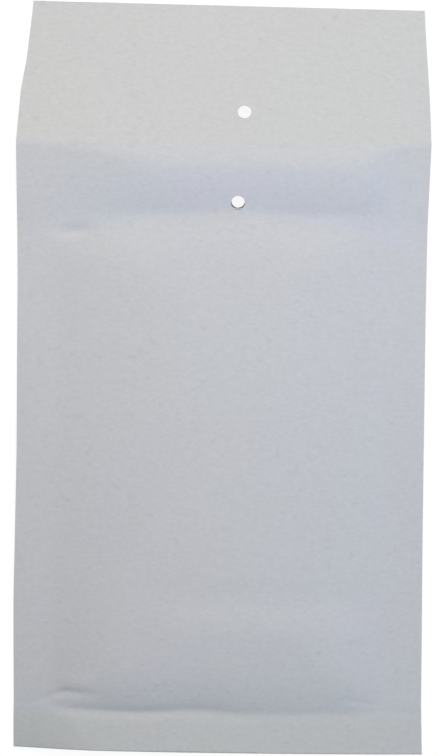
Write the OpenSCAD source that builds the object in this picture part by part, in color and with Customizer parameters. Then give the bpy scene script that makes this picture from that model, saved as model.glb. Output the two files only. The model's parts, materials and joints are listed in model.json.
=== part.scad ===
// Small bubble mailer, lying on its back with the flap folded out.
// Millimetres, +Z up, +Y towards the flap; the back rests on z = 0.

/* [Envelope] */
// Width across the two side seams
outer_w = 120; // [100:1:200]
// Length from the bottom edge to the flap fold
body_l = 175; // [140:1:300]
// Thickness of the outer paper
paper_t = 0.2; // [0.1:0.05:0.3]
// Width of each welded side seam
side_seam = 10; // [6:0.5:14]
// Length of the flat welded strip along the bottom edge
bottom_seam = 11; // [9:0.5:16]
// Distance from a side seam to the padding
side_slope = 8; // [6:0.5:10]
// Distance from the bottom seam to the padding
bottom_slope = 9; // [6:0.5:12]
// Distance from a side seam at which the front has swollen to its full height
side_swell = 46; // [40:1:50]
// Distance from the bottom seam at which the front has swollen to its full height
bottom_swell = 24; // [20:1:30]

/* [Padding] */
// Diameter of one air bubble
bubble_d = 10; // [7:0.5:14]
// Height of one air bubble on the front
bubble_h = 2.5; // [2:0.25:4]
// Height of one air bubble on the back, pressed flatter by lying on it
back_bubble_h = 2; // [1.5:0.25:3]
// Space between neighbouring bubbles
bubble_gap = 0.9; // [0.6:0.1:3]
// Rounding of a bubble's shoulder
bubble_round = 1.2; // [0.8:0.1:1.6]
// Thickness of one layer of plastic film
film_t = 0.15; // [0.1:0.05:0.25]
// Height of the front lining over the side seams
front_rise = 1.2; // [1:0.1:2.5]
// Depth of the back lining below the side seams
back_drop = 3; // [2.9:0.1:4.5]

/* [Mouth] */
// Length of the unpadded band below the fold
mouth_band = 19; // [17:0.5:26]
// Length of the slope from the padding down to the band
top_slope = 10; // [8:0.5:14]
// Height by which the seams rise from the pouch to the fold
mouth_rise = 4.6; // [4.3:0.1:7]
// Extra depth by which the back lip sags at the mouth
mouth_sag = 5.2; // [4:0.1:5.6]
// Height by which the front lining arches over the seams at the mouth
mouth_arch_h = 1.2; // [1:0.1:2.5]
// Width over which the mouth arches up from a side seam
mouth_slope = 32; // [20:1:34]
// Distance from the fold line to the edge of the back lip
lip_setback = 2; // [1.5:0.25:4]
// Rounding of the fold's ridge
ridge_round = 1; // [0.6:0.1:1.4]

/* [Flap] */
// Length of the flap from the fold to its free edge
flap_l = 44; // [42:1:60]
// Length of the flap's square-cut part before its sides taper
flap_straight = 5; // [2:0.5:10]
// Inward taper of each flap side at the free edge
flap_taper = 2.2; // [0:0.1:6]
// Space between the flap and the lips that it turns round
fold_gap = 0.3; // [0.25:0.05:0.4]

/* [Closure] */
// Width of the adhesive strip
adhesive_w = 16; // [8:0.5:18]
// Thickness of the adhesive strip
adhesive_t = 0.15; // [0.1:0.05:0.25]
// Distance from the flap's free edge to the adhesive strip
adhesive_edge = 7; // [5:0.5:10]
// Distance from the flap's sides to the adhesive strip
adhesive_side = 5; // [3:0.5:12]
// Thickness of the release liner
liner_t = 0.1; // [0.05:0.05:0.2]
// Width by which the release liner overhangs the adhesive
liner_lip = 2; // [1:0.25:3]
// Space between the release liner and the adhesive
peel_gap = 0.05; // [0.02:0.01:0.1]

/* [Fastener holes] */
// Diameter of each punched hole
hole_d = 4; // [3:0.1:5]
// Sideways distance of the pouch's hole from the middle
hole_x = 4.6; // [-8:0.1:8]
// Sideways distance of the flap's hole from the middle
flap_hole_x = 5.9; // [-8:0.1:8]
// Distance from the fold to the hole in the pouch
body_hole = 15.5; // [14.5:0.1:16.4]
// Distance from the fold to the hole in the flap
flap_hole = 10.2; // [6:0.1:14]

/* [Glue] */
// Thickness of the hot-melt lines at the mouth
glue_t = 0.3; // [0.2:0.05:0.4]
// Width of the hot-melt lines at the mouth
glue_w = 3; // [2:0.25:4]
// Length of the hem turned up on the back
hem_l = 10; // [6:0.5:11]
// Thickness of the hot melt under the hem
hem_glue_t = 0.1; // [0.05:0.05:0.2]
// Width of the hot melt under the hem
hem_glue_w = 6; // [3:0.5:8]

/* [Hidden] */
$fn = 64;
half_w = outer_w / 2;
inner_half = half_w - side_seam;
flat_half = inner_half - side_slope;
mid_z = back_drop + film_t + back_bubble_h + paper_t;
fold_y = body_l / 2;
bottom_y = -body_l / 2;
hem_r = (3 * paper_t + 2 * film_t + hem_glue_t) / 2;
edge_y = bottom_y + hem_r;
weld_y = bottom_y + bottom_seam;
pad_low_y = weld_y + bottom_slope;
valley_y = fold_y - mouth_band;
pad_top_y = valley_y - top_slope;
lip_y = fold_y - lip_setback;
film_end_y = fold_y - 8;
// Roll of the fold: the circle that both lips lie on and the flap turns round
fold_top_z = mid_z + mouth_rise + film_t + paper_t;
lip_low_z = mid_z + mouth_rise - film_t - paper_t - back_drop - mouth_sag - glue_t;
roll_r = (fold_top_z - lip_low_z) / 2;
hinge_z = (fold_top_z + lip_low_z) / 2;
flap_r = roll_r + fold_gap;
// Tilt at which the flap's free edge just reaches the table
flap_tilt = acos(-hinge_z / sqrt(flap_r * flap_r + flap_l * flap_l)) - atan2(flap_l, flap_r);
band_tilt = atan(mouth_rise / (mouth_band + top_slope / 2));
tangent_y = fold_y + roll_r * sin(flap_tilt);
roll_end_y = fold_y + roll_r * sin(flap_tilt + 12);
hole_y = fold_y - body_hole;

function smooth(t) = let (u = max(0, min(1, t))) u * u * (3 - 2 * u);

// Evenly spaced stations from a to b, without b itself
function stations(a, b, n) = [for (i = [0 : n - 1]) a + (b - a) * i / n];

// Share of the full rise from the pouch to the fold: a bend over the top slope, then straight
function lift(y) = let (u = max(0, y - pad_top_y), run = mouth_band + top_slope / 2)
    u < top_slope ? u * u / (2 * top_slope * run) : (u - top_slope / 2) / run;

// Height of the plane that the seams lie in
function seam_z(y) = mid_z + mouth_rise * lift(y);

// Nought over the padding, one over the unpadded band at the mouth
function unpadded(y) = smooth((y - pad_top_y) / top_slope);

// Swelling of the front: nought at the seams, steepest there, and one at full height
function side_dome(x) = 1 - pow(1 - min(1, max(0, inner_half - abs(x)) / min(side_swell, inner_half)), 2);
function bottom_dome(y) = 1 - pow(1 - min(1, max(0, y - weld_y) / bottom_swell), 3);

// Pillow shape of the linings: nought at the seams, one over the padding
function pillow(x, y) = let (w = side_slope + (mouth_slope - side_slope) * min(1, lift(y)))
    smooth((inner_half - abs(x)) / w) * smooth((y - weld_y) / bottom_slope);

// Space between the back film and paper: bubbles over the padding, glue at the mouth
function spacing(y) = glue_t + (back_bubble_h - glue_t) * (1 - unpadded(y));

function smaller(a, b, k) = let (h = max(k - abs(a - b), 0) / k) min(a, b) - h * h * k / 4;

// Plane of the flap, carried back over the mouth
function flap_plane(y) = hinge_z + (roll_r - (y - fold_y) * sin(flap_tilt)) / cos(flap_tilt);

function front_film_in(x, y) = seam_z(y)
    + pillow(x, y) * (front_rise + (mouth_arch_h - front_rise) * unpadded(y));
function front_film_out(x, y) = front_film_in(x, y) + film_t;
function front_wall(x, y) = front_film_out(x, y) + paper_t + unpadded(y) * pillow(x, y) * glue_t
    + (1 - unpadded(y)) * side_dome(x) * bottom_dome(y) * bubble_h;
function front_out(x, y) = y > tangent_y
    ? hinge_z + sqrt(max(0, roll_r * roll_r - (y - fold_y) * (y - fold_y)))
    : smaller(front_wall(x, y), flap_plane(y), ridge_round);
function front_in(x, y) = front_out(x, y) - paper_t;
function back_film_in(x, y) = seam_z(y) - pillow(x, y) * (back_drop + mouth_sag * lift(y));
function back_film_out(x, y) = back_film_in(x, y) - film_t;
function back_in(x, y) = back_film_out(x, y) - pillow(x, y) * spacing(y);
function back_out(x, y) = back_in(x, y) - paper_t;

// Columns across the width: middle, mouth arch, edge of the padding
half_columns = concat(stations(0, inner_half - mouth_slope, 3),
                      stations(inner_half - mouth_slope, flat_half, 4),
                      stations(flat_half, inner_half, 4), [inner_half]);
film_columns = concat([for (i = [len(half_columns) - 1 : -1 : 1]) -half_columns[i]], half_columns);
panel_columns = concat([-half_w], film_columns, [half_w]);

// Rows along the length: bottom seam, slope, padding, slope, band
top_rows = concat(stations(pad_top_y, valley_y, 6), [valley_y]);
slope_rows = concat(stations(weld_y, pad_low_y, 6), [pad_low_y], top_rows);
swell_rows = concat(stations(weld_y, weld_y + bottom_swell, 8), [weld_y + bottom_swell], top_rows);
band_rows = [fold_y - 12.5, fold_y - 10, film_end_y];
ridge_rows = concat(stations(fold_y - 7, tangent_y, 9), [tangent_y], [tangent_y + 0.4, roll_end_y]);

// Closed sheet between two height fields over a grid
module sheet(columns, rows, upper, lower) {
    nx = len(columns);
    ny = len(rows);
    top = [for (y = rows) for (x = columns) [x, y, upper(x, y)]];
    bottom = [for (y = rows) for (x = columns) [x, y, lower(x, y)]];
    m = nx * ny;
    rim = concat([for (i = [0 : nx - 1]) i], [for (j = [1 : ny - 1]) j * nx + nx - 1],
                 [for (i = [nx - 2 : -1 : 0]) (ny - 1) * nx + i], [for (j = [ny - 2 : -1 : 1]) j * nx]);
    cells = [for (j = [0 : ny - 2]) for (i = [0 : nx - 2]) j * nx + i];
    upper_faces = [for (a = cells) for (f = [[a, a + nx, a + nx + 1], [a, a + nx + 1, a + 1]]) f];
    lower_faces = [for (f = upper_faces) [m + f[0], m + f[2], m + f[1]]];
    rim_faces = [for (k = [0 : len(rim) - 1]) let (p = rim[k], q = rim[(k + 1) % len(rim)])
        for (f = [[p, q, m + q], [p, m + q, m + p]]) f];
    polyhedron(concat(top, bottom), concat(upper_faces, lower_faces, rim_faces));
}

// The punch that goes through the mouth, square to the front
module punch() {
    translate([hole_x, hole_y, front_out(hole_x, hole_y)])
        rotate([band_tilt, 0, 0])
            translate([0, 0, -16])
                cylinder(d = hole_d, h = 20);
}

// The flap's own frame: y runs from the fold to the free edge, z leaves the outer face
module flap_frame() {
    translate([0, fold_y, hinge_z])
        rotate([-flap_tilt, 0, 0])
            translate([0, 0, flap_r])
                children();
}

module front_panel() {
    color("white")
        difference() {
            sheet(panel_columns, concat([edge_y], swell_rows, band_rows, ridge_rows),
                  function(x, y) front_out(x, y), function(x, y) front_in(x, y));
            punch();
        }
}

module back_panel() {
    color("white")
        difference() {
            sheet(panel_columns, concat([edge_y], slope_rows, band_rows, [fold_y - 5, lip_y]),
                  function(x, y) back_in(x, y), function(x, y) back_out(x, y));
            punch();
        }
}

// Paper turned round the bottom edge, then flat on the back
module bottom_hem() {
    color("white")
        translate([-half_w, edge_y, mid_z + film_t + paper_t - hem_r])
            rotate([90, 0, 90])
                linear_extrude(outer_w)
                    union() {
                        difference() {
                            circle(r = hem_r);
                            circle(r = hem_r - paper_t);
                            translate([0, -2 * hem_r])
                                square([2 * hem_r, 4 * hem_r]);
                        }
                        translate([0, -hem_r])
                            square([hem_l - hem_r, paper_t]);
                    }
}

module hem_glue() {
    color("ivory")
        translate([-half_w + 3, bottom_y + hem_l - 1 - hem_glue_w, mid_z - film_t - paper_t - hem_glue_t])
            cube([outer_w - 6, hem_glue_w, hem_glue_t]);
}

module side_weld(side) {
    color("lightgray")
        sheet([side < 0 ? -half_w : inner_half, side < 0 ? -inner_half : half_w],
              concat(slope_rows, band_rows, [fold_y - 5, fold_y - 3]),
              function(x, y) seam_z(y) + film_t, function(x, y) seam_z(y) - film_t);
}

module left_seam() {
    side_weld(-1);
}

module right_seam() {
    side_weld(1);
}

module bottom_weld() {
    color("lightgray")
        translate([-half_w, edge_y, mid_z - film_t])
            cube([outer_w, weld_y - edge_y, 2 * film_t]);
}

module front_lining_film() {
    color("gainsboro")
        difference() {
            sheet(film_columns, concat(slope_rows, band_rows),
                  function(x, y) front_film_out(x, y), function(x, y) front_film_in(x, y));
            punch();
        }
}

module back_lining_film() {
    color("gainsboro")
        difference() {
            sheet(film_columns, concat(slope_rows, band_rows),
                  function(x, y) back_film_in(x, y), function(x, y) back_film_out(x, y));
            punch();
        }
}

// Air cells in staggered rows
cell_pitch = bubble_d + bubble_gap;
row_pitch = cell_pitch * sqrt(3) / 2;
field_l = pad_top_y - pad_low_y;
cell_rows = floor((field_l - bubble_d - 1) / row_pitch) + 1;
cells_across = floor((2 * flat_half - bubble_d - 1) / cell_pitch) + 1;
first_row_y = pad_low_y + (field_l - (cell_rows - 1) * row_pitch) / 2;
centres = [for (j = [0 : cell_rows - 1]) for (i = [0 : cells_across - 1 - j % 2])
    [(i - (cells_across - 1 - j % 2) / 2) * cell_pitch, first_row_y + j * row_pitch]];

// Space between front film and paper, and the whole tenths of it that are left over a bubble's rim
function room(x, y) = front_in(x, y) - front_film_out(x, y);
function cell_h(c) = floor(10 * min([for (a = [0 : 90 : 270])
    room(c[0] + bubble_d / 2 * cos(a), c[1] + bubble_d / 2 * sin(a))])) / 10;

// Half outline of one bubble of height h, drawn in by a wall thickness
module bubble_outline(h, inset) {
    r = bubble_d / 2 - inset;
    f = min(bubble_round, 0.7 * h) - inset;
    square([r - f, h - inset]);
    square([r, h - inset - f]);
    intersection() {
        translate([r - f, h - inset - f])
            circle(r = f);
        square([r, h - inset]);
    }
}

// Hollow cap over one air cell
module cap(h) {
    rotate_extrude()
        difference() {
            bubble_outline(h, 0);
            bubble_outline(h, film_t);
        }
}

// Flat web with a hole under each air cell
module web() {
    linear_extrude(film_t)
        difference() {
            translate([-flat_half, pad_low_y])
                square([2 * flat_half, field_l]);
            for (c = centres)
                translate(c)
                    circle(d = bubble_d);
        }
}

// Caps on the front are lower towards the seams, where the paper squeezes them
module front_bubble_sheet() {
    color("aliceblue")
        translate([0, 0, mid_z + front_rise + film_t]) {
            web();
            for (c = centres)
                translate(c)
                    cap(cell_h(c));
        }
}

// Caps on the back stand on the flat paper
module back_bubble_sheet() {
    color("aliceblue")
        translate([0, 0, mid_z - back_drop - film_t])
            mirror([0, 0, 1]) {
                web();
                for (c = centres)
                    translate(c)
                        cap(back_bubble_h);
            }
}

// Hot-melt lines fill the space between film and paper at the mouth
glue_columns = [-inner_half + mouth_slope, inner_half - mouth_slope];
glue_rows = [film_end_y - glue_w, film_end_y];

module front_lining_glue() {
    color("ivory")
        difference() {
            sheet(glue_columns, glue_rows, function(x, y) front_wall(x, y) - paper_t,
                  function(x, y) front_film_out(x, y));
            punch();
        }
}

module back_lining_glue() {
    color("ivory")
        difference() {
            sheet(glue_columns, glue_rows, function(x, y) back_film_out(x, y),
                  function(x, y) back_in(x, y));
            punch();
        }
}

module closing_flap() {
    color("white")
        flap_frame()
            difference() {
                linear_extrude(paper_t)
                    polygon([[-half_w, 0], [half_w, 0], [half_w, flap_straight],
                             [half_w - flap_taper, flap_l], [-half_w + flap_taper, flap_l],
                             [-half_w, flap_straight]]);
                translate([flap_hole_x, flap_hole, -2])
                    cylinder(d = hole_d, h = 4);
            }
}

module adhesive_strip() {
    side = half_w - flap_taper - adhesive_side;
    color("wheat")
        flap_frame()
            translate([-side, flap_l - adhesive_edge - adhesive_w, -adhesive_t])
                cube([2 * side, adhesive_w, adhesive_t]);
}

module release_liner() {
    side = half_w - flap_taper - adhesive_side + liner_lip;
    color("lemonchiffon")
        flap_frame()
            translate([-side, flap_l - adhesive_edge - adhesive_w - liner_lip,
                       -adhesive_t - peel_gap - liner_t])
                cube([2 * side, adhesive_w + 2 * liner_lip, liner_t]);
}

front_panel();
back_panel();
bottom_hem();
hem_glue();
left_seam();
right_seam();
bottom_weld();
front_lining_film();
front_bubble_sheet();
back_lining_film();
back_bubble_sheet();
front_lining_glue();
back_lining_glue();
closing_flap();
adhesive_strip();
release_liner();
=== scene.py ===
# %% [markdown]
# # A small bubble mailer, lying open
#
# A bubble mailer is a paper envelope with a lining of air cells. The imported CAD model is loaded
# first and stays fixed: it says where every piece is and how the flap and the release liner move.
# Everything that shows is then built as thin sheets over that frame.

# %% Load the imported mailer
import json
import math

import bpy
import numpy as np
from mathutils import Matrix, Vector


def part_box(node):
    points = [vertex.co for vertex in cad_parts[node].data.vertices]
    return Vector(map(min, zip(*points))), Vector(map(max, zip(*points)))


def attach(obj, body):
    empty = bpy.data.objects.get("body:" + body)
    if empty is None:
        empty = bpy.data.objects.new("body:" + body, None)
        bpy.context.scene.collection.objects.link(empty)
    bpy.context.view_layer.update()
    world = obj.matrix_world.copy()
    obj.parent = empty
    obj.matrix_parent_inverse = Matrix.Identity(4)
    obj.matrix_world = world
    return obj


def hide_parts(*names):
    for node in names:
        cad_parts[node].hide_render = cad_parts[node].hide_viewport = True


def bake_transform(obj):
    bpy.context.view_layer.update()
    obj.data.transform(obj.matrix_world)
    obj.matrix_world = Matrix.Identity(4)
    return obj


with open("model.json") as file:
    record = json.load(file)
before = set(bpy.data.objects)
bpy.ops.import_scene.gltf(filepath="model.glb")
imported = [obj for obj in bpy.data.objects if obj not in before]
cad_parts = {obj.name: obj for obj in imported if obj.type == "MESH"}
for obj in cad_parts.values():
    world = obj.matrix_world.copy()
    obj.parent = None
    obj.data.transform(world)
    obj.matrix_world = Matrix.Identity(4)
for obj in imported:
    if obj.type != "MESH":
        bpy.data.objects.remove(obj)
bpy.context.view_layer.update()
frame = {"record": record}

# %% [markdown]
# ## Sizes
#
# The sheets have to lie where the solids are, so their sizes are read from the solids' boxes and
# from the record. Shapes are worked out in millimetres, as a paper maker would, and turned to
# metres when a mesh is made.

# %% Sizes taken from the frame
MM = 0.001


def box_mm(node):
    """Lowest and highest corner of a CAD node, in millimetres."""
    return [np.array(corner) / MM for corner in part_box(node)]


front_low, front_high = box_mm("front_panel")
weld_low, weld_high = box_mm("bottom_weld")
pad_low, pad_high = box_mm("front_bubble_sheet")
back_pad_low, back_pad_high = box_mm("back_bubble_sheet")
hem_low, hem_high = box_mm("bottom_hem")

half_width = front_high[0]
sheet_end_y = front_low[1]
lip_y = box_mm("back_panel")[1][1]
film_end_y = box_mm("front_lining_film")[1][1]
middle_z = (weld_low[2] + weld_high[2]) / 2
film_t = (weld_high[2] - weld_low[2]) / 2
back_cell_h = back_pad_high[2] - back_pad_low[2]
front_rise = pad_low[2] - film_t - middle_z
back_drop = middle_z - film_t - back_pad_high[2]
hem_r = (hem_high[2] - hem_low[2]) / 2
hem_length = hem_high[1] - sheet_end_y
print(f"half width {half_width:.1f} mm, seams {middle_z:.2f} mm above the table")

# %% Fold and holes taken from the record
mounts = {m["name"]: m for m in frame["record"]["mounts"]}
joints = {j["name"]: j for j in frame["record"]["behaviour"]["joints"]}
hinge_y, hinge_z = np.array(joints["flap_fold"]["pos_m"])[1:] / MM
pouch_hole = np.array(mounts["pouch_hole"]["pos_m"]) / MM
pouch_axis = np.array(mounts["pouch_hole"]["axis"])
flap_hole = np.array(mounts["flap_hole"]["pos_m"]) / MM
flap_axis = np.array(mounts["flap_hole"]["axis"])
hole_r = mounts["pouch_hole"]["dims"]["r_mm"]
flap_tilt = math.atan2(flap_axis[1], flap_axis[2])
print(f"flap tilted by {math.degrees(flap_tilt):.1f} degrees, holes {2 * hole_r:.1f} mm wide")

# %% Sizes of the solids that boxes and record do not show
paper_t = 0.2        # outer paper
glue_t = 0.3         # hot-melt line at the mouth
front_cell_h = 2.5   # air cells under the front paper
mouth_rise = 4.6     # climb of the seams to the fold
mouth_sag = 5.2      # sag of the back wall below the climbing seams
mouth_arch = 1.2     # swelling of the front lining at the mouth
bend_length = 10.0   # stretch in which the back's padding runs out
flap_face = 5.1      # from the fold's axis to the flap's outer face
hair = 0.02          # gap that keeps two layers from lying in one another
print("paper and film drawn at", paper_t, "and", round(film_t, 2), "mm")

# %% [markdown]
# ## Camera
#
# The photograph looks almost straight down from about 45 cm. The camera's place was worked out from
# the outline: the four corners of the pouch, the flap's free edge and the two holes. It leans by less
# than a degree, so no lens shift is needed.

# %% Camera above the mailer
image_h = 756
focal_px = 1525.1
camera_mm = Vector((5.561, 17.387, 450.0))
lean_x, lean_y, lean_z = 0.00888, 0.01294, 0.01079

camera_data = bpy.data.cameras.new("camera")
camera_data.sensor_width = 36.0
# In an upright picture the sensor's width spans the height
camera_data.lens = focal_px / image_h * camera_data.sensor_width
camera = bpy.data.objects.new("camera", camera_data)
lean = Matrix.Rotation(lean_z, 4, "Z") @ Matrix.Rotation(lean_y, 4, "Y") @ Matrix.Rotation(lean_x, 4, "X")
camera.matrix_world = Matrix.Translation(camera_mm * MM) @ lean
bpy.context.collection.objects.link(camera)
scene = bpy.context.scene
scene.camera = camera
scene.view_settings.view_transform = "Standard"
print("lens", round(camera_data.lens, 2), "mm")

# %% [markdown]
# ## Colours and nodes
#
# Colours are written as sRGB hex values, as one would read them off a paper sample, and one function
# turns them into the linear values that the shaders use. One more function adds a node, sets its
# values and links its inputs, so that a material reads as a list of what feeds what.

# %% Helpers for colours and nodes
def linear(hex_colour):
    """sRGB hex to linear: c/12.92 below 0.04045, ((c + 0.055) / 1.055) ^ 2.4 above."""
    c = np.array([int(hex_colour[i:i + 2], 16) for i in (1, 3, 5)]) / 255
    return (*np.where(c <= 0.04045, c / 12.92, ((c + 0.055) / 1.055) ** 2.4), 1.0)


def add(tree, kind, inputs=None, stops=(), **settings):
    """New node with its settings, its inputs set to values or linked to other nodes' outputs, and, on a
    colour ramp, the place and hex colour of its stops."""
    made = tree.nodes.new("ShaderNode" + kind)
    for key, value in settings.items():
        setattr(made, key, value)
    for key, value in (inputs or {}).items():
        if isinstance(value, bpy.types.NodeSocket):
            tree.links.new(value, made.inputs[key])
        else:
            made.inputs[key].default_value = value
    for number, (position, colour) in enumerate(stops):
        made.color_ramp.elements[number].position = position
        made.color_ramp.elements[number].color = linear(colour)
    return made


def new_material(name):
    """Empty node material, with its tree and its output node."""
    material = bpy.data.materials.new(name)
    material.use_nodes = True
    material.node_tree.nodes.clear()
    return material, material.node_tree, add(material.node_tree, "OutputMaterial")


print("paper white in linear values:", [round(v, 3) for v in linear("#DEDEDE")[:3]])

# %% [markdown]
# ## Sky and lamps
#
# The photograph is lit by a large soft window or ceiling light that comes mostly from above and a
# little from the flap's end, so the pouch darkens towards the hem, with cooler light from the right.
# Three area lamps and a dim sky do that. What the camera sees of the sky is white, and so is what
# gloss and clear film show of it, but that white doesn't light the paper.

# %% Sky
def seen_directly(tree):
    """One for a ray from the camera, a gloss or a clear film, nought for light between matt surfaces."""
    rays = add(tree, "LightPath").outputs
    seen = rays["Is Camera Ray"]
    for kind in ("Is Glossy Ray", "Is Transmission Ray"):
        seen = add(tree, "Math", {0: seen, 1: rays[kind]}, operation="MAXIMUM").outputs[0]
    return seen


world = bpy.data.worlds.new("sky")
scene.world = world
world.use_nodes = True
sky = world.node_tree
sky.nodes.clear()
dim = add(sky, "Background", {"Color": linear("#EDF1FA"), "Strength": 0.04})
white = add(sky, "Background", {"Color": linear("#FFFFFF"), "Strength": 1.0})
both = add(sky, "MixShader", {0: seen_directly(sky), 1: dim.outputs[0], 2: white.outputs[0]})
add(sky, "OutputWorld", {"Surface": both.outputs[0]})
print("sky nodes:", len(sky.nodes))

# %% Lamps
def soft_lamp(name, place, size, watts, colour):
    """Square area lamp at place, in metres, facing the middle of the mailer."""
    lamp = bpy.data.lights.new(name, "AREA")
    lamp.size = size
    lamp.energy = watts
    lamp.color = linear(colour)[:3]
    obj = bpy.data.objects.new(name, lamp)
    obj.location = place
    obj.rotation_euler = (Vector((0, 0, 0)) - Vector(place)).to_track_quat("-Z", "Y").to_euler()
    bpy.context.collection.objects.link(obj)


soft_lamp("window_above", place=(0, 0.28, 0.52), size=0.4, watts=3.0, colour="#FFFDFC")
soft_lamp("cool_foot", place=(0.4, -0.7, 0.3), size=0.5, watts=2.1, colour="#DCF0F9")
soft_lamp("blue_side", place=(0.4, 0, 0.25), size=0.4, watts=0.35, colour="#649CFF")
print("lamps:", len(bpy.data.lights))

# %% [markdown]
# ## Floor
#
# The floor is white for the camera by its own glow and not by more lamps. A grey matt coat on top of
# the glow still takes the mailer's soft shadow. For the light between surfaces it is a plain table.

# %% White table top
floor_reach = 4.0
floor_z = -0.1 * MM  # just below the mailer, so that no face of it lies in the floor

floor_mesh = bpy.data.meshes.new("floor")
corners = [(-floor_reach, -floor_reach), (floor_reach, -floor_reach), (floor_reach, floor_reach),
           (-floor_reach, floor_reach)]
floor_mesh.from_pydata([(*corner, floor_z) for corner in corners], [], [(0, 1, 2, 3)])
floor = bpy.data.objects.new("floor", floor_mesh)
bpy.context.collection.objects.link(floor)
floor_paint, tree, out = new_material("white_table_top_matt_paint")
matt = add(tree, "BsdfDiffuse", {"Color": linear("#E4E4E4")})
coat = add(tree, "BsdfDiffuse", {"Color": linear("#606060")})
glow = add(tree, "Emission", {"Color": linear("#FFFFFF"), "Strength": 0.93})
shown = add(tree, "AddShader", {0: coat.outputs[0], 1: glow.outputs[0]})
mixed = add(tree, "MixShader", {0: seen_directly(tree), 1: matt.outputs[0], 2: shown.outputs[0]})
tree.links.new(mixed.outputs[0], out.inputs["Surface"])
floor_mesh.materials.append(floor_paint)
print("floor", 2 * floor_reach, "m wide")

# %% [markdown]
# ## Uncoated white paper
#
# The outer sheet is machine-made bleached paper without a coating. Its fibres lie mostly across the
# mailer and gather in small clouds, so the white is faintly mottled, with a few grey specks, and
# there is no gloss. A real fibre is about 0.03 mm thick. The clouds, about 1 mm wide, are the finest
# thing that shows at this distance, so the fibre relief is drawn at 0.5 mm, far coarser than it is.
#
# What lies under a thin sheet tints it. The flap and the hem have no padding under them and are drawn
# warmer than the pouch: partly the paper's own tone without the bluish film, and on the flap partly
# painted shade of the shadowed gap under it that shows through. The band of the mouth, which faces away
# from the lamp above, gets a painted cool shade. Two attributes of the mesh say where the tints go.

# %% Paper colour
cloud_mm, speck_mm, shade_mm = 1.0, 1.9, 26.0
fibre_stretch = (0.62, 1.0, 1.0)
# Places of a colour Mix node's factor and two colours among its inputs, and of its result
MIX_BY, MIX_A, MIX_B, MIXED = 0, 6, 7, 2

paper, tree, out = new_material("uncoated_white_paper_machine_made")
place = add(tree, "TexCoord").outputs["Object"]
along = add(tree, "Mapping", {"Vector": place, "Scale": fibre_stretch}).outputs[0]
clouds = add(tree, "TexNoise", {"Vector": along, "Scale": 1 / (cloud_mm * MM), "Detail": 3.0,
                                "Roughness": 0.6})
tone = add(tree, "ValToRGB", {"Fac": clouds.outputs[0]}, stops=((0.28, "#D6D6D6"), (0.72, "#DEDEDE")))
specks = add(tree, "TexNoise", {"Vector": along, "Scale": 1 / (speck_mm * MM), "Detail": 1.0})
spots = add(tree, "ValToRGB", {"Fac": specks.outputs[0]}, stops=((0.62, "#FFFFFF"), (0.78, "#F9F9F8")))
shades = add(tree, "TexNoise", {"Vector": place, "Scale": 1 / (shade_mm * MM), "Detail": 2.0})
tints = add(tree, "ValToRGB", {"Fac": shades.outputs[0]}, stops=((0.3, "#FDFCFE"), (0.7, "#FCFEFD")))
backing_and_painted_shade_tint = linear("#FAFAFA")
# The warm tint is partly the unpadded paper's own tone and, on the flap, partly painted shade of the gap
# under it; the cool tint is painted cool shade on the mouth's band, which faces away from the lamp above.
for attribute, tint in (("unpadded_tone_and_painted_shade", "#FAFAF5"), ("mouth_painted_cool_shade", "#F9FAFF")):
    share = add(tree, "Attribute", attribute_name=attribute).outputs["Fac"]
    backing_and_painted_shade_tint = add(tree, "Mix", {MIX_BY: share, MIX_A: backing_and_painted_shade_tint, MIX_B: linear(tint)},
                 data_type="RGBA").outputs[MIXED]
colour = tone.outputs[0]
for layer in (spots.outputs[0], tints.outputs[0], backing_and_painted_shade_tint):
    colour = add(tree, "Mix", {MIX_BY: 1.0, MIX_A: colour, MIX_B: layer}, data_type="RGBA",
                 blend_type="MULTIPLY").outputs[MIXED]
print("paper clouds every", cloud_mm, "mm")

# %% Paper surface
relief_mm, relief_depth_mm = 0.5, 0.02
fibres = add(tree, "TexNoise", {"Vector": along, "Scale": 1 / (relief_mm * MM), "Detail": 2.0})
relief = add(tree, "Bump", {"Height": fibres.outputs[0], "Strength": 0.25,
                            "Distance": relief_depth_mm * MM})
skin = add(tree, "BsdfPrincipled", {"Base Color": colour, "Normal": relief.outputs[0], "Roughness": 0.92,
                                    "IOR": 1.5, "Specular IOR Level": 0.25})
tree.links.new(skin.outputs[0], out.inputs["Surface"])
print("paper nodes:", len(tree.nodes))

# %% [markdown]
# ## Shapes as height fields
#
# Every layer of the mailer is a sheet, so each is a height z over the plan x, y. A few small curves
# build all of them: a smooth step, a bell, a rounded ramp, the shoulder of a stuffed edge and a
# smooth minimum. All are in millimetres, so their numbers are places and heights on the mailer.

# %% Small curves
def rise(t, start, full):
    """Smooth step 3 u^2 - 2 u^3, with u = (t - start) / (full - start) held between 0 and 1: nought at
    start and one at full, whichever of the two is larger."""
    u = np.clip((t - start) / (full - start), 0, 1)
    return u * u * (3 - 2 * u)


def bell(t, middle, width):
    """Bell curve exp(-((t - middle) / width)^2): one at the middle, nearly nought at twice the width."""
    return np.exp(-((t - middle) / width) ** 2)


def ramp(d, bend):
    """Rounded ramp (d + sqrt(d^2 + bend^2)) / 2: nought for d well below 0, d well above."""
    return (d + np.sqrt(d * d + bend * bend)) / 2


def shoulder(d, width, power, bend=0.8):
    """Rise of a stuffed edge: 1 - (1 - d / width)^power, steep at the weld and level at full width, with the
    bend at the weld rounded by ramp."""
    return 1 - (1 - np.clip(ramp(d, bend) / width, 0, 1)) ** power


def lesser(a, b, k):
    """Smooth minimum: the smaller of a and b, with the corner between them rounded over a height k."""
    h = np.maximum(k - np.abs(a - b), 0) / k
    return np.minimum(a, b) - h * h * k / 4


print("shoulder at 2, 8 and 20 mm:", shoulder(np.array([2.0, 8.0, 20.0]), 20, 2.6).round(2))

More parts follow.
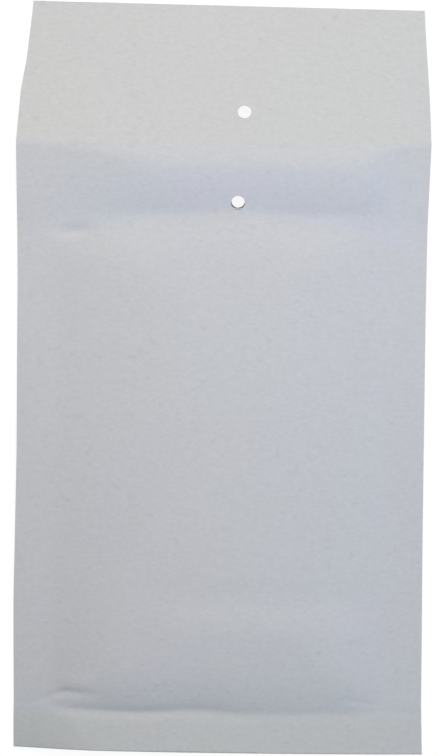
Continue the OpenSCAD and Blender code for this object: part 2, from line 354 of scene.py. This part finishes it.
# %% [markdown]
# ## The seam surface
#
# The seams of both sides and of the bottom lie in one surface in the middle of the thickness. It is
# level along the pouch and climbs to the mouth, where the paper's own stiffness holds the fold up.
# This mailer has been handled, so its left margin and the left corner of its hem droop.

# %% Height of the seams
weld_x = 48.4
weld_y = weld_high[1] + 0.4
kink_y = 65.5
crease_end_x = 48.0


def lift(y):
    """Share of the rise from the pouch to the fold: a rounded ramp that starts at the kink."""
    return ramp(y - kink_y, 2.5) / (hinge_y - kink_y)


def crease_y(x):
    """Line of the bottom crease: along the weld, bent up at both ends and once more left of the middle."""
    return weld_y + 1.6 * (np.abs(x) / crease_end_x) ** 4 + 0.9 * bell(x, -7, 9)


def left_droop(x, y):
    """Fall of the left side: of the hem's corner, by a slope that grows past a slanting line, and of the
    margin, by 0.08 mm for each mm outside x = -49."""
    past_line = ramp(-42 - 0.6 * (y + 79) - x, 4.0)
    corner = past_line * (0.045 * rise(y, -58, -72) + 0.006 * ramp(-72 - y, 4.0))
    return corner + 0.08 * ramp(-49 - x, 2.0) * rise(y, 75, 50) * rise(y, -80, -60)


def margin_wave(x, y):
    """Slight sine wave of both side margins, which runs out towards the mouth."""
    return 0.15 * np.sin(y / 11 + np.sign(x)) * rise(np.abs(x), 46, 56) * rise(y, 60, 40)


def bar_press(x, y):
    """Dip that the heated bar pressed below the bottom crease: a bell across the line, deeper on the left,
    that runs out at both ends."""
    depth = (0.4 - 0.26 * rise(x, -20, 20)) * rise(np.abs(x), 52, 42)
    return depth * bell(y, crease_y(x) - 0.7, 1.6)


def seam_z(x, y):
    """Middle height, plus the rise to the mouth, less the droop, plus the wave, less the bar's dip."""
    return middle_z + mouth_rise * lift(y) - left_droop(x, y) + margin_wave(x, y) - bar_press(x, y)


print("seams at the fold:", round(float(seam_z(np.array(half_width), np.array(hinge_y))), 2), "mm high")

# %% [markdown]
# ## The two walls
#
# A wall swells away from the seams. The swelling starts with a sharp bend at the weld, because the
# weld holds the paper flat there, and levels off over the padding. Near the mouth the padding ends in
# an arch and only a low swelling is left, higher on the right, which makes the bright crescent under
# the fold. The back wall is flat where it lies on the table and sags at the mouth.

# %% Swelling of the front
slope_start_y, slope_end_y = 57.0, 69.3


def arch(x):
    """Swelling across the mouth: rises slowly from the left seam and falls quickly to the right one."""
    return rise(x, -54, -12) * rise(x, 53.5, 36.5)


def bulge(y):
    """Growth of the mouth's swelling towards the fold: 0.8 + 0.85 (1 - ((80 - y) / 11)^2), with y held
    between 69, where the padding ends, and 89."""
    return 0.8 + 0.85 * (1 - (np.clip(80 - y, -9, 11) / 11) ** 2)


def padded_share(x, y):
    """One over the padding, nought over the mouth: a slope with a broad upper and a tight lower bend, whose
    line across the mailer is an arch that drops towards the seams and peaks at the hole."""
    along = y + 5.4 * (np.abs(x) / 46) ** 2.6 - 2.2 * bell(x, 3, 10)
    slope = ramp(along - slope_start_y, 5.0) - ramp(along - slope_end_y, 1.6)
    return 1 - slope / (slope_end_y - slope_start_y)


def side_shoulders(x, y):
    """Shoulders at the side welds: broad along the pouch, short at the padding's four corners and shortest
    at the lower right one. The weld's line wanders in a slight sine wave."""
    up_from_hem = rise(y, -70, -38)
    width = 26 + 20 * up_from_hem * rise(y, 62, 34) - 9 * (x > 0) * (1 - up_from_hem)
    edge = weld_x - np.abs(x) + 0.4 * np.sin(y / 14 + 2 * np.sign(x))
    return shoulder(edge, width, 2.0, 2.0)


def foot_shoulder(x, y):
    """Shoulder at the bottom crease: short and sharp on the left, longer and rounder on the right."""
    right = rise(x, 0, 40)
    return shoulder(y - crease_y(x), 17 + 12 * right, 2.2 + 0.8 * right, 0.4 + 0.6 * rise(x, -20, 20))


def front_swell(x, y, padding, mouth):
    """Height over the seams: padding times the side shoulders, and mouth times bulge and arch, mixed by
    padded_share, all times the shoulder at the foot."""
    share = padded_share(x, y)
    swell = share * padding * side_shoulders(x, y) + (1 - share) * mouth * bulge(y) * arch(x)
    return swell * foot_shoulder(x, y)


print("padded share from y = 50 to 75 mm:", padded_share(0, np.linspace(50, 75, 6)).round(2))

# %% Swelling of the back
pad_end_y = pad_high[1]
back_weld_x = 50.0
back_shoulder_w, back_shoulder_power = 12.0, 2.2


def back_swell(x, y, padding, mouth):
    """Depth below the seams: the same mix for the wall that lies flat, with short shoulders all round and a
    mouth that sags as the seams rise."""
    inside = back_weld_x - np.abs(x)
    share = 1 - rise(y, pad_end_y, pad_end_y + bend_length)
    lip = (mouth + mouth_sag * lift(y)) * rise(inside, 0, 32)
    swell = share * padding * shoulder(inside, back_shoulder_w, back_shoulder_power) + (1 - share) * lip
    return swell * shoulder(y - weld_y, back_shoulder_w, back_shoulder_power)


print("back padding ends at y =", round(pad_end_y, 1), "mm")

# %% [markdown]
# ## Slack in the front paper
#
# The padding doesn't fill the paper everywhere, so the front has a low ridge with a valley above it,
# faint waves, puckers where the bottom weld meets the sides, and a dimple at the mouth's left. They
# could be sculpted, but as short lines with a height and a width they stay easy to move.

# %% Waves and crinkles
# Start, end, height and half width of each crinkle; a height below nought is a groove
crinkles = (
    ((-51.0, -73.0), (-44.0, -70.2), -0.55, 1.0),
    ((-46.5, -70.3), (-36.5, -71.0), -0.4, 1.1),
    ((-46.0, -67.5), (-36.0, -67.0), 0.3, 2.5),
    ((-59.0, -73.9), (-48.5, -73.4), -0.14, 0.8),
    ((47.5, -75.2), (59.0, -75.8), -0.10, 0.9),
    ((36.0, -71.5), (46.5, -73.4), -0.2, 0.9),
    ((-47.5, 63.0), (-39.0, 64.3), -0.9, 1.5),
)


def crinkle(x, y, start, end, height, width):
    """Ridge along the straight line from start to end: height times exp(-(d / width)^2), d away from the
    line, times sin(pi (0.08 + 0.84 u))^0.7, which fades it at both ends as u goes from 0 to 1 along it."""
    (x0, y0), (dx, dy) = start, np.subtract(end, start)
    u = np.clip(((x - x0) * dx + (y - y0) * dy) / (dx ** 2 + dy ** 2), 0, 1)
    d2 = (x - x0 - u * dx) ** 2 + (y - y0 - u * dy) ** 2
    return height * np.exp(-d2 / width ** 2) * np.sin(np.pi * (0.08 + 0.84 * u)) ** 0.7


def paper_relief(x, y):
    """Slack of the front paper: a ridge and a valley across the right of the front, a broad swell under
    them, a product of two faint sine waves, and the crinkles."""
    z = 0.45 * (bell(y, -51.5, 6) - bell(y, -43, 5)) * rise(x, -30, -5) * rise(x, 52, 32)
    z += 0.5 * bell(y, -50, 14) * rise(np.abs(x), 48, 28)
    z += 0.08 * np.sin(x / 13 + y / 21) * np.sin(y / 17 - x / 40) * padded_share(x, y)
    for line in crinkles:
        z += crinkle(x, y, *line)
    return z


print(len(crinkles), "crinkles in the front paper")

# %% [markdown]
# ## The layers
#
# Each face of a layer is the seam surface plus or minus its swelling. Front paper and flap are one
# sheet, so its height is the lower of the wall and the flap's plane, rounded where they meet. The
# lining gives way where a crinkle pushes the paper down on it.

# %% Faces of the layers
def flap_top(x, y):
    """Outer face of the flap: a plane at a set distance from the fold's axis, with a slight spring in the
    paper, that levels out where the free edge lies on the table."""
    plane = hinge_z + (flap_face - (y - hinge_y) * math.sin(flap_tilt)) / math.cos(flap_tilt)
    sprung = plane + 0.2 * np.sin(x / 34 + 0.6) * rise(y, 96, 120)
    return -lesser(-sprung, -(paper_t + hair), 0.6)


def front_top(x, y):
    """Outer face of the front paper and the flap: the lower of wall and flap, rounded at the ridge."""
    wall = seam_z(x, y) + film_t + paper_t + paper_relief(x, y)
    wall = wall + front_swell(x, y, front_rise + front_cell_h, mouth_arch + glue_t)
    return lesser(wall, flap_top(x, y), 0.5 + 0.6 * arch(x))


def under_paper(x, y):
    """Just below the inner face of the front paper, where a crinkle in it pushes the layers down."""
    return front_top(x, y) - paper_t - hair


def front_film(x, y):
    """Pocket face of the front lining film."""
    free = seam_z(x, y) + front_swell(x, y, front_rise, mouth_arch)
    return np.minimum(free, under_paper(x, y) - film_t)


def back_film(x, y):
    """Pocket face of the back lining film."""
    return seam_z(x, y) - back_swell(x, y, back_drop, back_drop)


def back_bottom(x, y):
    """Outer face of the back paper, which rests on the table."""
    return seam_z(x, y) - film_t - paper_t - back_swell(x, y, back_drop + back_cell_h, back_drop + glue_t)


print("front height over the padding:", round(float(front_top(np.array(0.0), np.array(0.0))), 2), "mm")

# %% [markdown]
# ## The outline
#
# Machine-cut paper that has been handled isn't a perfect rectangle: the long edges wander by half a
# millimetre and the flap is cut a little askew, its left side drawn in more than its right. A few
# measured stations along each edge give that, and every layer follows the same outline.

# %% Outline of the paper
edge_y = np.array([-87.5, -73, -44, 0, 43, 67, 88.8, 98.1, 104.3, 113.6, 123, 132])
left_x = np.array([-59.7, -59.5, -59.85, -59.5, -59.75, -60, -59.9, -59.5, -59.25, -58, -57.3, -56.7])
right_x = np.array([59.55, 59.15, 59.15, 59.2, 59.45, 59.7, 60.05, 59.95, 59.8, 59.45, 59.1, 58.9])
hem_bow = 0.4
flap_start_y = hinge_y + flap_face * math.sin(flap_tilt)
flap_length = 43.9
flap_end_y = flap_start_y + flap_length * math.cos(flap_tilt)
flap_skew = 0.00046


def outline(x, y):
    """Plan of a point: x in proportion between the two edges, y moved by the hem's bow and the flap's
    skew."""
    share = (x / half_width + 1) / 2
    px = (1 - share) * np.interp(y, edge_y, left_x) + share * np.interp(y, edge_y, right_x)
    hem = (-hem_bow + hem_bow * (x / half_width) ** 2) * rise(y, -60, -87)
    return px, y + hem - np.maximum(y - flap_start_y, 0) * flap_skew * px


print("flap from", round(flap_start_y, 1), "to", round(flap_end_y, 1), "mm")

# %% [markdown]
# ## Sheets with punched holes
#
# A sheet is a grid of cells. A round hole doesn't fit a square grid, so a block of cells round it is
# taken out and filled with rings that turn from the block's square into the hole's circle. Then the
# grid gets two layers, a paper thickness apart, and a rim that closes them.

# %% Grids
block = 3.0
block_rings = 3


def lines_through(place, start, end, clear=0.4):
    """Grid lines a millimetre apart between start and end, clear of both, with one of them at place."""
    return place + np.arange(math.ceil(start + clear - place), end - place - clear)


def cells_of(number):
    """Four corner numbers of each cell of a grid of point numbers, counter-clockwise from above."""
    return np.stack([number[:-1, :-1], number[:-1, 1:], number[1:, 1:], number[1:, :-1]], -1)


def ring_of(number):
    """Point numbers round the edge of a grid, counter-clockwise from above."""
    return np.concatenate([number[0, :-1], number[:-1, -1], number[-1, :0:-1], number[:0:-1, 0]])


def punched_grid(columns, rows, holes=()):
    """Plan points, cells and edge rings of a grid; each hole is (x, y, x radius, y radius). A ring's points
    are mixed from the block's square and the circle's points at the same angles, in equal steps."""
    gx, gy = np.meshgrid(columns, rows)
    points = np.stack([gx.ravel(), gy.ravel()], -1)
    number = np.arange(len(points)).reshape(gx.shape)
    kept = np.ones((len(rows) - 1, len(columns) - 1), bool)
    patches, rings = [], [ring_of(number)]
    for cx, cy, rx, ry in holes:
        i0, i1 = (np.abs(columns - cx - side).argmin() for side in (-block, block))
        j0, j1 = (np.abs(rows - cy - side).argmin() for side in (-block, block))
        kept[j0:j1, i0:i1] = False
        ring = ring_of(number[j0:j1 + 1, i0:i1 + 1])
        square = points[ring]
        angle = np.arctan2(square[:, 1] - cy, square[:, 0] - cx)
        circle = np.stack([cx + rx * np.cos(angle), cy + ry * np.sin(angle)], -1)
        share = (np.arange(1, block_rings + 1) / block_rings)[:, None, None]
        inner = (square + (circle - square) * share).reshape(-1, 2)
        loops = np.concatenate([ring, len(points) + np.arange(len(inner))]).reshape(block_rings + 1, -1)
        points = np.concatenate([points, inner])
        patches.append(cells_of(np.concatenate([loops, loops[:, :1]], 1)).reshape(-1, 4))
        rings.append(loops[-1][::-1])
    return points, np.concatenate([cells_of(number)[kept]] + patches), rings


print("holes are cut from blocks of", 2 * block, "mm")

# %% Shells and pieces
sharp_angle = math.radians(45)


def shell(name, upper, lower, cells, rings, finish):
    """Closed mesh object from two layers of points in mm: upper faces, lower faces turned over, and a rim on
    each ring."""
    n = len(upper)
    faces = [cells, cells[:, ::-1] + n]
    for ring in rings:
        ahead = np.roll(ring, -1)
        faces.append(np.stack([ring + n, ahead + n, ahead, ring], -1))
    faces = np.concatenate(faces)
    mesh = bpy.data.meshes.new(name)
    mesh.from_pydata((np.concatenate([upper, lower]) * MM).tolist(), [], faces.tolist())
    mesh.polygons.foreach_set("use_smooth", np.ones(len(faces), bool))
    mesh.set_sharp_from_angle(angle=sharp_angle)
    mesh.materials.append(finish)
    obj = bpy.data.objects.new(name, mesh)
    bpy.context.collection.objects.link(obj)
    print(f"{name}: {2 * len(faces)} triangles")
    return obj


def layered(name, columns, rows, top, bottom, finish, holes=()):
    """Sheet between two height functions over the grid's plan, cut to the outline."""
    points, cells, rings = punched_grid(columns, rows, holes)
    x, y = outline(points[:, 0], points[:, 1])
    upper = np.stack([x, y, top(x, y)], -1)
    lower = np.stack([x, y, bottom(x, y)], -1)
    return shell(name, upper, lower, cells, rings, finish)


def dress(obj, body, slot, *nodes):
    """Piece rides on a body and stands for its CAD nodes, which it hides; its slot is not used."""
    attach(obj, body)
    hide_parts(*nodes)


print("edges sharper than", round(math.degrees(sharp_angle)), "degrees stay sharp")

# %% [markdown]
# ## Front paper and flap
#
# On the real mailer the front and the flap are one sheet, folded at the mouth, so they are one piece
# here as well. Rows are close together at the hem crease and at the fold, where the paper bends most,
# and fall on the holes elsewhere.

# %% The folded front sheet
fine_step = 0.5
hem_fine_end_y = -64.0
fold_fine_start_y = pouch_hole[1] + 9
fold_fine_end_y = flap_hole[1] - 6.3

columns = lines_through(pouch_hole[0], -half_width, half_width, clear=0.3)
columns = np.concatenate([[-half_width], columns, [half_width]])
hem_rows = np.arange(sheet_end_y, hem_fine_end_y, fine_step)
pouch_rows = lines_through(pouch_hole[1], hem_rows[-1], fold_fine_start_y)
fold_rows = np.arange(pouch_rows[-1] + fine_step, fold_fine_end_y, fine_step)
flap_rows = lines_through(flap_hole[1], fold_rows[-1], flap_end_y)
front_rows = np.concatenate([hem_rows, pouch_rows, fold_rows, flap_rows, [flap_end_y]])
pouch_punch = (pouch_hole[0], pouch_hole[1], hole_r, hole_r * pouch_axis[2])
flap_punch = (flap_hole[0], flap_hole[1], hole_r, hole_r * flap_axis[2])

front_paper = layered("paper_front_and_flap", columns, front_rows, front_top,
                      lambda x, y: front_top(x, y) - paper_t, paper, [pouch_punch, flap_punch])

# %% Unpadded paper and painted cool shade on the front sheet
fold_line_y = 88.8
coordinates = np.empty(3 * len(front_paper.data.vertices))
front_paper.data.vertices.foreach_get("co", coordinates)
x, y = coordinates[0::3] / MM, coordinates[1::3] / MM
# Warm tint where no padding lies under the paper, at the flap and the hem; on the flap partly painted shade
unpadded_tone_and_painted_shade = rise(y, fold_line_y - 0.3, fold_line_y + 0.3) + rise(y, weld_y, weld_y - 2)
# Painted cool shade on the band of the mouth, which faces away from the lamp above
mouth_painted_cool_shade = rise(padded_share(x, y), 0.25, 0) * rise(y, 86, 77) * rise(x, 61, 49) * rise(x, -64, -30)
for attribute, share in (("unpadded_tone_and_painted_shade", unpadded_tone_and_painted_shade), ("mouth_painted_cool_shade", mouth_painted_cool_shade)):
    front_paper.data.attributes.new(attribute, "FLOAT", "POINT").data.foreach_set("value", share)
    print(attribute, "share of the points:", round(float(share.mean()), 2))
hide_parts("front_panel", "closing_flap")
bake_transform(front_paper)

# %% [markdown]
# ## Back paper
#
# The back ends just below the fold, as the lower lip of the mouth. The hole goes through both walls
# in one punch, so its place on the back follows the punch's slant. The walls have slipped a little
# since, and a dark crescent shows in the front's hole.

# %% The back sheet
punch_shift = -pouch_axis[1] / pouch_axis[2]
slip = 0.1
back_hole_y = pouch_hole[1]
# The back isn't level, so its depth at the hole is looked up again as the hole's place closes in
for _ in range(3):
    drop = front_top(pouch_hole[0], pouch_hole[1]) - back_bottom(pouch_hole[0], back_hole_y)
    back_hole_y = pouch_hole[1] + punch_shift * float(drop) + slip
back_rows = np.concatenate([hem_rows, lines_through(back_hole_y, hem_rows[-1], lip_y), [lip_y]])
back_punch = (pouch_hole[0], back_hole_y, hole_r, hole_r / pouch_axis[2])
back_paper = layered("paper_back", columns, back_rows, lambda x, y: back_bottom(x, y) + paper_t,
                     back_bottom, paper, [back_punch])
dress(back_paper, "pouch", "outer_paper", "back_panel")
print("hole in the back", round(back_hole_y - pouch_hole[1], 2), "mm nearer to the fold than in the front")

# %% [markdown]
# ## Bottom hem
#
# The front paper is turned round the bottom edge and glued to the back. The turn is a half circle
# with a flat strip after it, carried along the edge, so it is a grid of profile points by columns.

# %% The turned-up hem
strip_start = 0.6
strip = np.linspace(hem_length, strip_start, 16)
turn = np.radians(np.linspace(-90, -270, 13))


def hem_layer(radius):
    """Points of one face of the hem: strip on the back, then a half turn of that radius up to the front."""
    _, edge = outline(columns, np.full_like(columns, sheet_end_y))
    along_y = np.concatenate([strip, radius * np.cos(turn)])[:, None]
    above = np.concatenate([np.full_like(strip, -radius), radius * np.sin(turn)])[:, None]
    y = edge[None, :] + along_y
    x, _ = outline(np.broadcast_to(columns, y.shape), np.broadcast_to(sheet_end_y + along_y, y.shape))
    z = seam_z(x, y) + film_t + paper_t - hem_r + above
    return np.stack([x, y, z], -1).reshape(-1, 3)


hem_number = np.arange((len(strip) + len(turn)) * len(columns)).reshape(-1, len(columns))
hem = shell("paper_bottom_hem", hem_layer(hem_r), hem_layer(hem_r - paper_t),
            cells_of(hem_number).reshape(-1, 4), [ring_of(hem_number)], paper)
dress(hem, "pouch", "outer_paper", "bottom_hem")

# %% [markdown]
# ## Plastic and glue
#
# The lining is clear polyethylene film: soft, a little cloudy from the casting roll, with a wet gloss.
# Where it is welded it turns matt and whiter. The hot melt and the adhesive are resins, warm in colour
# and slightly rough, and the release liner is glazed paper with a silicone coat, smooth and yellowish.
# They differ only in colour, grain, roughness and the light that they let through, so one function
# makes them all.

# %% Film, weld, glue and liner materials
UM = 1e-6


def resin(name, dark, light, grain_mm, roughness, through, relief_um):
    """Principled material with a noise of two colours, a fine bump and some light let through."""
    material, tree, out = new_material(name)
    place = add(tree, "TexCoord").outputs["Object"]
    grain = add(tree, "TexNoise", {"Vector": place, "Scale": 1 / (grain_mm * MM), "Detail": 3.0})
    tone = add(tree, "ValToRGB", {"Fac": grain.outputs[0]}, stops=((0.3, dark), (0.7, light)))
    bump = add(tree, "Bump", {"Height": grain.outputs[0], "Strength": 0.3, "Distance": relief_um * UM})
    skin = add(tree, "BsdfPrincipled", {"Base Color": tone.outputs[0], "Normal": bump.outputs[0],
                                        "IOR": 1.51, "Roughness": roughness, "Transmission Weight": through})
    tree.links.new(skin.outputs[0], out.inputs["Surface"])
    return material


cast_film = resin("clear_polyethylene_film_cast", "#E3E8EC", "#EFF3F6",
                  grain_mm=6.0, roughness=0.22, through=0.75, relief_um=30)
formed_film = resin("polyethylene_air_cells_vacuum_formed", "#E6EBEF", "#F1F5F8",
                    grain_mm=3.0, roughness=0.15, through=0.8, relief_um=30)
pressed_film = resin("polyethylene_weld_pressed", "#D5D9DC", "#E1E4E6",
                     grain_mm=1.5, roughness=0.5, through=0.2, relief_um=60)
hot_melt = resin("hot_melt_glue_set", "#D9D0B6", "#E6DFC9",
                 grain_mm=2.0, roughness=0.4, through=0.3, relief_um=80)
sticky = resin("pressure_sensitive_adhesive_coated", "#D8CFAE", "#E2DBC2",
               grain_mm=4.0, roughness=0.3, through=0.3, relief_um=50)
glassine = resin("release_paper_silicone_coated", "#DCD9CC", "#E4E2D8",
                 grain_mm=5.0, roughness=0.35, through=0.0, relief_um=20)
print("materials:", len(bpy.data.materials))

# %% [markdown]
# ## Welds
#
# Along both sides and the bottom the two films are melted together into one strip between the papers.
# The strips show only as a thin bright line in the cut edge.

# %% Side and bottom welds
cut_back = 0.05
weld_end_y = hinge_y - 2.9
weld_step = 1.5


def weld_top(x, y):
    """Upper face of the welded films, a hair below the front paper."""
    return np.minimum(seam_z(x, y) + film_t - hair, under_paper(x, y))


def weld_bottom(x, y):
    """Lower face of the welded films, a hair above the back paper."""
    return seam_z(x, y) - film_t + hair


weld_rows = np.arange(weld_y, weld_end_y, weld_step)
for side, node in ((-1, "left_seam"), (1, "right_seam")):
    span = np.sort(side * np.linspace(weld_x, half_width - cut_back, 10))
    strip_weld = layered("weld_" + node.split("_")[0], span, weld_rows, weld_top, weld_bottom, pressed_film)
    dress(strip_weld, "pouch", "welded_film", node)
low_weld = layered("weld_bottom", np.linspace(-half_width + cut_back, half_width - cut_back, 81),
                   np.linspace(sheet_end_y + cut_back, weld_y, 14), weld_top, weld_bottom, pressed_film)
dress(low_weld, "pouch", "welded_film", "bottom_weld")

# %% [markdown]
# ## Lining films
#
# The flat film on the pocket side of each padding is smooth, so that contents slide past it. Both
# films end below the mouth and have the punched hole.

# %% Front and back lining films
film_reach_x = weld_x + 0.6
film_draw_back = 0.25
film_columns = columns[np.abs(columns) < film_reach_x]


def wider(cut):
    """The same hole, grown by how far a soft film draws back from the punch."""
    return (*cut[:2], cut[2] + film_draw_back, cut[3] + film_draw_back)


def film_rows_through(y):
    """Rows a millimetre apart from the bottom weld to the film's end, on the hole's own lines."""
    return np.concatenate([[weld_y], lines_through(y, weld_y, film_end_y), [film_end_y]])


front_lining = layered("lining_film_front", film_columns, film_rows_through(pouch_hole[1]),
                       lambda x, y: front_film(x, y) + film_t - hair, front_film, cast_film,
                       [wider(pouch_punch)])
dress(front_lining, "pouch", "lining_film", "front_lining_film")
back_lining = layered("lining_film_back", film_columns, film_rows_through(back_hole_y), back_film,
                      lambda x, y: back_film(x, y) - film_t + hair, cast_film, [wider(back_punch)])
dress(back_lining, "pouch", "lining_film", "back_lining_film")

# %% [markdown]
# ## Air cells
#
# The padding is a second film, sucked into round cells in staggered rows and bonded to the flat one,
# so each cell traps air. A cell is a flat-topped cap: its height over the plan depends only on the
# distance to the nearest cell centre, and it is squeezed where the paper comes down at the edges.

# %% Places of the cells
cell_d, cell_gap = 10.0, 0.9
pad_margin = 1.0
pitch = cell_d + cell_gap
row_pitch = pitch * math.sqrt(3) / 2
cells_up = math.floor((pad_high[1] - pad_low[1] - cell_d - pad_margin) / row_pitch) + 1
cells_across = math.floor((2 * pad_high[0] - cell_d - pad_margin) / pitch) + 1
first_y = (pad_low[1] + pad_high[1] - (cells_up - 1) * row_pitch) / 2
row_of = np.repeat(np.arange(cells_up), cells_across)
col_of = np.tile(np.arange(cells_across), cells_up)
in_row = cells_across - row_of % 2
centres = np.stack([(col_of - (in_row - 1) / 2) * pitch, first_y + row_of * row_pitch], -1)
centres = centres[col_of < in_row]
print(len(centres), "cells in each sheet")

# %% Bubble sheets
cell_round = 1.6
cell_film_t = 0.14
web = cell_film_t + hair
back_clear = 0.12


def cap(x, y):
    """Height share of the air cells: 1 on a cap, 0 on the web, with a quarter-round shoulder at the rim."""
    d = np.full(np.shape(x), np.inf)
    for cx, cy in centres:
        d = np.minimum(d, np.hypot(x - cx, y - cy))
    u = np.clip((d - (cell_d / 2 - cell_round)) / cell_round, 0, 1)
    return np.sqrt(1 - u * u)


def front_cells(x, y):
    """Outer face of the front bubble sheet: the web on the film, plus the room up to the paper times the
    cap."""
    high = under_paper(x, y)
    low = np.minimum(front_film(x, y) + film_t + hair + web, high)
    return low + np.maximum(high - low, 0) * cap(x, y)


def back_cells(x, y):
    """Outer face of the back bubble sheet: the same, downwards to the back paper."""
    high = back_film(x, y) - film_t - hair - web
    low = back_bottom(x, y) + paper_t + back_clear
    return high - np.maximum(high - low, 0) * cap(x, y)


cell_columns = np.linspace(-pad_high[0], pad_high[0], 121)
cell_rows = np.linspace(pad_low[1], pad_high[1], 181)
front_pad = layered("air_cells_front", cell_columns, cell_rows, front_cells,
                    lambda x, y: front_cells(x, y) - cell_film_t, formed_film)
dress(front_pad, "pouch", "bubble_film", "front_bubble_sheet")
back_pad = layered("air_cells_back", cell_columns, cell_rows, lambda x, y: back_cells(x, y) + cell_film_t,
                   back_cells, formed_film)
dress(back_pad, "pouch", "bubble_film", "back_bubble_sheet")

# %% [markdown]
# ## Glue lines
#
# A line of hot melt holds each lining to its paper at the mouth, and one more holds the hem. They are
# beads that were pressed flat, so they fill the space between the two faces they join.

# %% Hot-melt lines at the mouth
glue_half_x = 18.0
glue_start_y, glue_end_y = film_end_y - 3, film_end_y - 0.1
glue_columns = np.linspace(-glue_half_x, glue_half_x, 37)
glue_rows = np.linspace(glue_start_y, glue_end_y, 8)
front_glue = layered("hot_melt_front_lining", glue_columns, glue_rows, under_paper,
                     lambda x, y: front_film(x, y) + film_t, hot_melt)
dress(front_glue, "pouch", "hot_melt", "front_lining_glue")
back_glue = layered("hot_melt_back_lining", glue_columns, glue_rows, lambda x, y: back_film(x, y) - film_t,
                    lambda x, y: back_bottom(x, y) + paper_t + hair, hot_melt)
dress(back_glue, "pouch", "hot_melt", "back_lining_glue")

# %% Hot-melt line under the hem
hem_glue_t = 0.1
bead_low, bead_high = box_mm("hem_glue")
hem_bead = layered("hot_melt_hem", np.linspace(bead_low[0], bead_high[0], 80),
                   np.linspace(bead_low[1], bead_high[1], 9),
                   lambda x, y: seam_z(x, y) - film_t - paper_t - hair,
                   lambda x, y: seam_z(x, y) - film_t - paper_t - hem_glue_t + hair, hot_melt)
dress(hem_bead, "pouch", "hot_melt", "hem_glue")

# %% [markdown]
# ## Adhesive strip and release liner
#
# The flap's inner face carries a strip of adhesive under a liner that is a little wider, so that a
# finger can lift it. Both lie flat on the flap and turn with it; the liner is drawn off sideways.

# %% Closure strips
end_round = 3.0


def strip_on_flap(name, node, gap, thick, finish):
    """Flat strip with quarter-round corners under the flap, in the place of its CAD node, gap below the
    flap's inner face. Towards an end the rows draw in by the corner's circle."""
    low, high = box_mm(node)
    points, cells, rings = punched_grid(np.linspace(low[0], high[0], 97),
                                        np.linspace(low[1] + cut_back, high[1] - cut_back, 25))
    x, y = points.T
    middle, half = (low[1] + high[1]) / 2, (high[1] - low[1]) / 2
    into_corner = np.maximum(end_round - np.minimum(x - low[0], high[0] - x), 0)
    inset = end_round - np.sqrt(np.maximum(end_round ** 2 - into_corner ** 2, 0))
    y = middle + (y - middle) * (1 - inset / half)
    face = flap_top(x, y) - (paper_t + gap) / math.cos(flap_tilt)
    upper = np.stack([x, y, face], -1)
    lower = np.stack([x, y, face - thick / math.cos(flap_tilt)], -1)
    return shell(name, upper, lower, cells, rings, finish)


tack = strip_on_flap("adhesive_band", "adhesive_strip", gap=0.0, thick=0.15, finish=sticky)
dress(tack, "flap", "adhesive", "adhesive_strip")
peel = strip_on_flap("release_liner_strip", "release_liner", gap=0.2, thick=0.1, finish=glassine)
dress(peel, "liner", "liner_paper", "release_liner")
